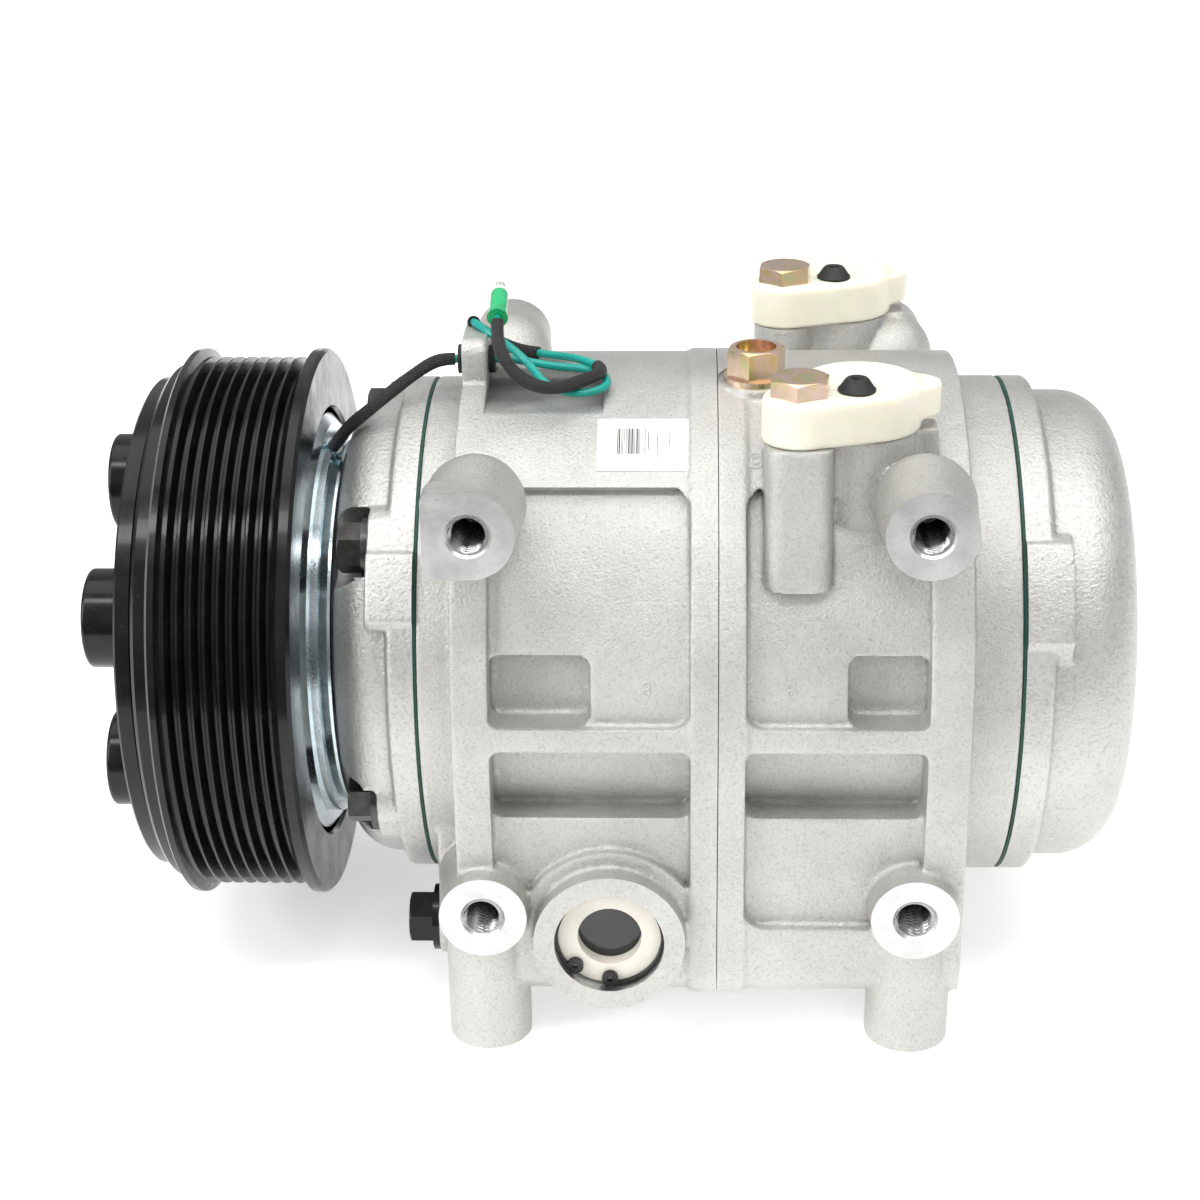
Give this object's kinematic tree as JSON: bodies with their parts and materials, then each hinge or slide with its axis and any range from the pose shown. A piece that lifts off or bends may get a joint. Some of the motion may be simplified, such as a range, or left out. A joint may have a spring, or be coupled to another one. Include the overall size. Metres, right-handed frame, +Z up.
{
  "type": "automotive air conditioning compressor",
  "caption": "Swash-plate refrigerant compressor with a ribbed belt pulley and electromagnetic clutch, split cast body, capped ports and threaded mounting bosses.",
  "frame": {"origin": "centre of the four threaded feet on the base plane", "axes": "+X along the shaft from the clutch to the rear head, +Z up, -Y the side with the sight glass"},
  "size_m": [0.2818, 0.1666, 0.1911],
  "materials": {
    "cast_aluminium": "pale grey, fine sand-cast skin, machined on the boss faces",
    "gasket_green": "dark green coated gasket edge",
    "valve_steel": "bright ground steel",
    "black_bolt": "black oxide steel, satin",
    "black_gloss": "gloss black paint",
    "zinc_blue": "bluish zinc plate",
    "zinc_yellow": "iridescent yellow zinc plate",
    "bearing_steel": "polished steel",
    "copper_wire": "enamelled copper winding in resin",
    "black_rubber": "matt black rubber",
    "nylon_white": "off-white nylon",
    "sight_glass": "clear glass",
    "white_nylon_ring": "off-white nylon",
    "teal_wire": "teal green insulation",
    "green_sleeve": "green translucent sleeve",
    "clear_tip": "clear plastic tip",
    "label_paper": "matt white label"
  },
  "bodies": {
    "housing": {"barcode_label": "label_paper", "bearing_circlip": "valve_steel", "bearing_inner_race": "bearing_steel", "block_seal_ring": "black_rubber", "cap_bolts": "zinc_yellow", "cap_stoppers": "black_rubber", "coil_circlip": "valve_steel", "coil_housing": "zinc_blue", "coil_lead": "teal_wire", "coil_winding": "copper_wire", "connector_lead": "teal_wire", "connector_sleeve": "green_sleeve", "connector_tip": "clear_tip", "dowel_pins": "valve_steel", "drain_plug": "black_bolt", "far_port_cap": "nylon_white", "front_cylinder_block": "cast_aluminium", "front_head": "cast_aluminium", "front_head_gasket": "gasket_green", "front_suction_reed": "valve_steel", "front_valve_plate": "valve_steel", "lead_grommet": "black_rubber", "near_port_cap": "nylon_white", "needle_bearings": "valve_steel", "oil_plug": "zinc_yellow", "rear_cylinder_block": "cast_aluminium", "rear_head": "cast_aluminium", "rear_head_gasket": "gasket_green", "rear_suction_reed": "valve_steel", "rear_valve_plate": "valve_steel", "seal_circlip": "valve_steel", "shaft_seal": "black_rubber", "sight_glass": "sight_glass", "sight_glass_circlip": "zinc_yellow", "sight_glass_ring": "white_nylon_ring", "through_bolts": "zinc_yellow", "thrust_bearings": "valve_steel"},
    "shaft": {"drive_shaft": "valve_steel", "swash_plate": "valve_steel", "clutch_hub": "black_gloss", "hub_nut": "zinc_yellow", "damper_cups": "black_gloss", "damper_rubbers": "black_rubber", "thrust_washers": "valve_steel"},
    "pulley": {"pulley": "black_gloss", "bearing_outer_race": "bearing_steel", "bearing_balls": "bearing_steel"},
    "armature": {"armature_plate": "black_gloss", "armature_pins": "bearing_steel"},
    "piston_body_1": {"piston_1": "cast_aluminium", "piston_shoes_1": "bearing_steel"},
    "piston_body_2": {"piston_2": "cast_aluminium", "piston_shoes_2": "bearing_steel"},
    "piston_body_3": {"piston_3": "cast_aluminium", "piston_shoes_3": "bearing_steel"},
    "piston_body_4": {"piston_4": "cast_aluminium", "piston_shoes_4": "bearing_steel"},
    "piston_body_5": {"piston_5": "cast_aluminium", "piston_shoes_5": "bearing_steel"}
  },
  "joints": [
    {"name": "shaft_spin", "type": "hinge", "parent": "housing", "child": "shaft", "pos_m": [0, 0, 0.092], "axis": [1, 0, 0], "continuous": true},
    {"name": "pulley_spin", "type": "hinge", "parent": "housing", "child": "pulley", "pos_m": [-0.1266, 0, 0.092], "axis": [1, 0, 0], "continuous": true},
    {"name": "armature_pull", "type": "slide", "parent": "shaft", "child": "armature", "axis": [1, 0, 0], "range_m": [0, 0.00045], "stiffness_N_per_m": 2000},
    {"name": "piston_1_stroke", "type": "slide", "parent": "housing", "child": "piston_body_1", "axis": [1, 0, 0], "range_m": [-0.02475, 0.00025]},
    {"name": "piston_2_stroke", "type": "slide", "parent": "housing", "child": "piston_body_2", "axis": [1, 0, 0], "range_m": [-0.01864, 0.00636]},
    {"name": "piston_3_stroke", "type": "slide", "parent": "housing", "child": "piston_body_3", "axis": [1, 0, 0], "range_m": [-0.00404, 0.02096]},
    {"name": "piston_4_stroke", "type": "slide", "parent": "housing", "child": "piston_body_4", "axis": [1, 0, 0], "range_m": [-0.00113, 0.02387]},
    {"name": "piston_5_stroke", "type": "slide", "parent": "housing", "child": "piston_body_5", "axis": [1, 0, 0], "range_m": [-0.01394, 0.01106]}
  ]
}
